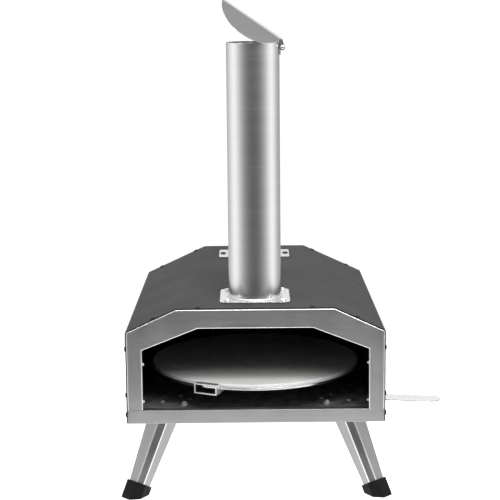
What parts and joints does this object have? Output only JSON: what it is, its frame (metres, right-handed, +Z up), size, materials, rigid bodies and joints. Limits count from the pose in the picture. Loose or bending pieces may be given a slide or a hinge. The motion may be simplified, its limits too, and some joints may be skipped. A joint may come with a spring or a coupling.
{
  "type": "wood fired pizza oven",
  "caption": "Table-top wood fired pizza oven: hexagonal steel body, turning stone with a side lever, tall flue with a tilting cap, rear fuel tray and hopper, folding splayed legs.",
  "frame": {"origin": "middle of the whole object's footprint, on the surface that the feet stand on; the oven's own mid plane is 41.4 mm towards -X because the lever reaches out to +X", "axes": "+Z up along the flue, -Y out of the oven's mouth, +X to the right seen from the mouth, the lever's side"},
  "size_m": [0.5004, 0.5528, 0.7572],
  "materials": {
    "shell_paint": "semi-gloss dark grey powder coat",
    "chamber_black": "matt black, sooted",
    "frame_steel": "brushed stainless, bright cut edges",
    "flue_steel": "satin stainless",
    "bright_steel": "bright stainless",
    "leg_steel": "brushed stainless sheet",
    "inner_steel": "plain stainless sheet",
    "fastener_bright": "polished",
    "fastener_black": "black oxide",
    "stone": "fine pale cordierite stone, matt",
    "foot_rubber": "matt black rubber",
    "knob_plastic": "matt black heat-proof plastic"
  },
  "bodies": {
    "oven_body": {"outer_shell": "shell_paint", "inner_liner": "chamber_black", "front_frame": "frame_steel", "front_sill": "frame_steel", "floor_pan": "chamber_black", "rear_panel": "shell_paint", "flue_flange": "bright_steel", "flue_collar": "bright_steel", "flue_pipe": "flue_steel", "flue_screw_1": "fastener_bright", "flue_screw_2": "fastener_bright", "flue_screw_3": "fastener_bright", "flue_screw_4": "fastener_bright", "cap_bracket": "flue_steel", "cap_pin": "fastener_bright", "shaft_bush": "inner_steel", "hopper": "bright_steel", "lid_hinge_pin": "fastener_bright", "hopper_screw_1": "fastener_black", "hopper_screw_2": "fastener_black", "tray_rail_left": "inner_steel", "tray_rail_right": "inner_steel", "bracket_front_left": "leg_steel", "bracket_front_right": "leg_steel", "bracket_rear_left": "leg_steel", "bracket_rear_right": "leg_steel", "bracket_nut_front_left": "fastener_bright", "bracket_nut_front_right": "fastener_bright", "bracket_nut_rear_left": "fastener_bright", "bracket_nut_rear_right": "fastener_bright", "pivot_bolt_front_left": "fastener_bright", "pivot_bolt_front_right": "fastener_bright", "pivot_bolt_rear_left": "fastener_bright", "pivot_bolt_rear_right": "fastener_bright"},
    "flue_cap": {"flue_cap": "flue_steel"},
    "turntable": {"turntable_tray": "bright_steel", "pizza_stone": "stone", "tray_handle_loop": "bright_steel", "turntable_shaft": "inner_steel", "rotation_lever": "bright_steel", "lever_nut": "fastener_bright"},
    "hopper_lid": {"hopper_lid": "shell_paint", "lid_knob": "knob_plastic"},
    "fuel_tray": {"fuel_tray": "inner_steel", "fuel_grate": "inner_steel", "fuel_tray_handle": "bright_steel"},
    "leg_front_left": {"leg_front_left": "leg_steel", "foot_front_left": "foot_rubber"},
    "leg_front_right": {"leg_front_right": "leg_steel", "foot_front_right": "foot_rubber"},
    "leg_rear_left": {"leg_rear_left": "leg_steel", "foot_rear_left": "foot_rubber"},
    "leg_rear_right": {"leg_rear_right": "leg_steel", "foot_rear_right": "foot_rubber"}
  },
  "joints": [
    {"name": "flue_cap_hinge", "type": "hinge", "parent": "oven_body", "child": "flue_cap", "pos_m": [0.00218, -0.1944, 0.6843], "axis": [0, 1, 0], "range_deg": [0, 100]},
    {"name": "turntable_spin", "type": "hinge", "parent": "oven_body", "child": "turntable", "pos_m": [-0.04142, -0.0954, 0.1353], "axis": [0, 0, 1], "range_deg": [-4, 55]},
    {"name": "hopper_lid_hinge", "type": "hinge", "parent": "oven_body", "child": "hopper_lid", "pos_m": [-0.04142, 0.1921, 0.4378], "axis": [-1, 0, 0], "range_deg": [0, 100]},
    {"name": "fuel_tray_slide", "type": "slide", "parent": "oven_body", "child": "fuel_tray", "axis": [0, 1, 0], "range_m": [0, 0.115]},
    {"name": "leg_fold_front_left", "type": "hinge", "parent": "oven_body", "child": "leg_front_left", "pos_m": [-0.18462, -0.1614, 0.1148], "axis": [0.9262, 0.0409, -0.3749], "range_deg": [0, 108]},
    {"name": "leg_fold_front_right", "type": "hinge", "parent": "oven_body", "child": "leg_front_right", "pos_m": [0.10178, -0.1614, 0.1148], "axis": [0.9262, -0.0409, 0.3749], "range_deg": [0, 108]},
    {"name": "leg_fold_rear_left", "type": "hinge", "parent": "oven_body", "child": "leg_rear_left", "pos_m": [-0.18462, 0.1276, 0.1148], "axis": [-0.9262, 0.0409, 0.3749], "range_deg": [0, 108]},
    {"name": "leg_fold_rear_right", "type": "hinge", "parent": "oven_body", "child": "leg_rear_right", "pos_m": [0.10178, 0.1276, 0.1148], "axis": [-0.9262, -0.0409, -0.3749], "range_deg": [0, 108]}
  ]
}
